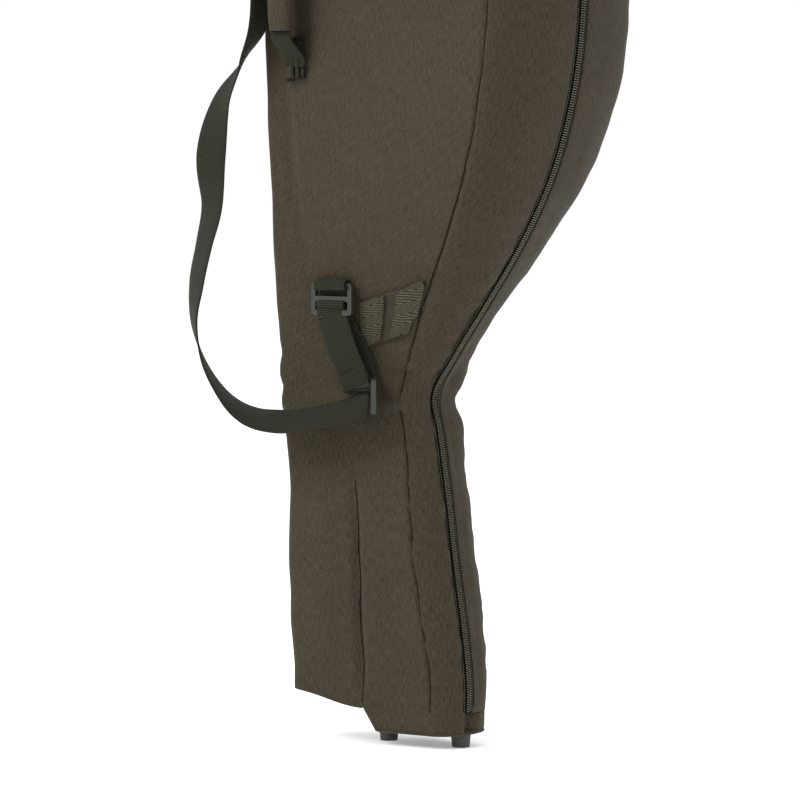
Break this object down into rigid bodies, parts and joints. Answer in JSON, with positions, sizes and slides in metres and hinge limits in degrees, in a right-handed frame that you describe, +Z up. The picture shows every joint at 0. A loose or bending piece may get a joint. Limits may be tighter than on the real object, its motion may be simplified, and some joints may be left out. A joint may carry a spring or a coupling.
{
  "type": "padded fishing rod sleeve",
  "caption": "Tall padded rod-and-reel sleeve with a belly zip, side pocket, carry handle, adjustable webbing shoulder strap and two rubber feet.",
  "frame": {"origin": "on the floor under the feet, at the middle of the overall box", "axes": "+X from the straight spine side to the belly zip, +Y from the front face with the handle to the rear cover, +Z up"},
  "size_m": [0.423, 0.2324, 1.996],
  "materials": {
    "outer_canvas": "heathered olive-brown woven canvas, matt",
    "padding": "covered closed-cell foam",
    "lining_fabric": "thin smooth lining",
    "webbing": "ribbed nylon webbing",
    "zip_tape": "woven tape",
    "zip_coil": "nylon coil",
    "zip_metal": "dark coated zinc",
    "olive_plastic": "moulded acetal",
    "foot_rubber": "moulded rubber",
    "fastener_steel": "zinc plated",
    "board_plastic": "sheet polyethylene"
  },
  "bodies": {
    "sleeve": {"anchor_band_lower": "webbing", "anchor_loop_lower": "webbing", "anchor_loop_upper": "webbing", "base_board": "board_plastic", "base_foam": "padding", "base_outer": "outer_canvas", "divider_panel": "padding", "foot_belly": "foot_rubber", "foot_nuts": "fastener_steel", "foot_screws": "fastener_steel", "foot_spine": "foot_rubber", "foot_washers": "fastener_steel", "front_panel_foam_lower": "padding", "front_panel_foam_reel": "padding", "front_panel_foam_upper": "padding", "front_panel_lining": "lining_fabric", "front_panel_outer": "outer_canvas", "handle_end_lower": "webbing", "handle_end_upper": "webbing", "handle_tab_lower": "webbing", "handle_tab_upper": "webbing", "hanging_loop": "webbing", "hood_foam": "padding", "hood_lining": "lining_fabric", "hood_outer": "outer_canvas", "pocket_bottom": "lining_fabric", "pocket_foam": "padding", "pocket_lining": "lining_fabric", "pocket_mouth_binding": "webbing", "pocket_outer": "outer_canvas", "rod_strap_lower": "webbing", "rod_strap_upper": "webbing", "shoulder_strap": "webbing", "upper_spine_panel": "padding", "zip_bottom_stop": "zip_metal", "zip_coil_front": "zip_coil", "zip_tape_front": "zip_tape", "zip_top_stop": "zip_metal"},
    "rear_cover": {"rear_cover_outer": "outer_canvas", "rear_cover_foam_lower": "padding", "rear_cover_foam_reel": "padding", "rear_cover_foam_upper": "padding", "rear_cover_lining": "lining_fabric", "zip_tape_rear": "zip_tape", "zip_coil_rear": "zip_coil"},
    "zip_slider": {"zip_slider": "zip_metal"},
    "zip_pull": {"zip_pull_bail": "zip_metal", "zip_puller": "zip_metal"},
    "carry_handle": {"handle_grip": "outer_canvas", "handle_webbing": "webbing"},
    "strap_end": {"strap_ring": "olive_plastic", "strap_tail_front": "webbing", "strap_tail_back": "webbing"},
    "adjuster": {"strap_adjuster": "olive_plastic"},
    "upper_strap_ring": {"upper_ring": "olive_plastic"}
  },
  "joints": [
    {"name": "rear_cover_swing", "type": "hinge", "parent": "sleeve", "child": "rear_cover", "pos_m": [-0.03043, 0.0492, 0.95], "axis": [0, 0, 1], "range_deg": [0, 90]},
    {"name": "zip_slide", "type": "slide", "parent": "rear_cover", "child": "zip_slider", "axis": [0, 0, 1], "range_m": [-0.5, 0]},
    {"name": "zip_pull_swing", "type": "hinge", "parent": "zip_slider", "child": "zip_pull", "pos_m": [0.04568, 0.0072, 1.8605], "axis": [0, -1, 0], "range_deg": [0, 150]},
    {"name": "handle_swing", "type": "hinge", "parent": "sleeve", "child": "carry_handle", "pos_m": [-0.06643, -0.0762, 0.743], "axis": [0, 0, 1], "range_deg": [-8, 35], "deforming": ["handle_end_lower", "handle_end_upper"]},
    {"name": "strap_end_swing", "type": "hinge", "parent": "sleeve", "child": "strap_end", "pos_m": [-0.03843, -0.06613, 0.4375], "axis": [1, 0, 0], "range_deg": [-50, 0], "deforming": ["shoulder_strap"]},
    {"name": "adjuster_slide", "type": "slide", "parent": "strap_end", "child": "adjuster", "axis": [0.2807, 0.0765, -0.9568], "range_m": [0, 0.02]},
    {"name": "upper_ring_swing", "type": "hinge", "parent": "sleeve", "child": "upper_strap_ring", "pos_m": [-0.07443, -0.03732, 1.3595], "axis": [1, 0, 0], "range_deg": [-50, 0]}
  ]
}
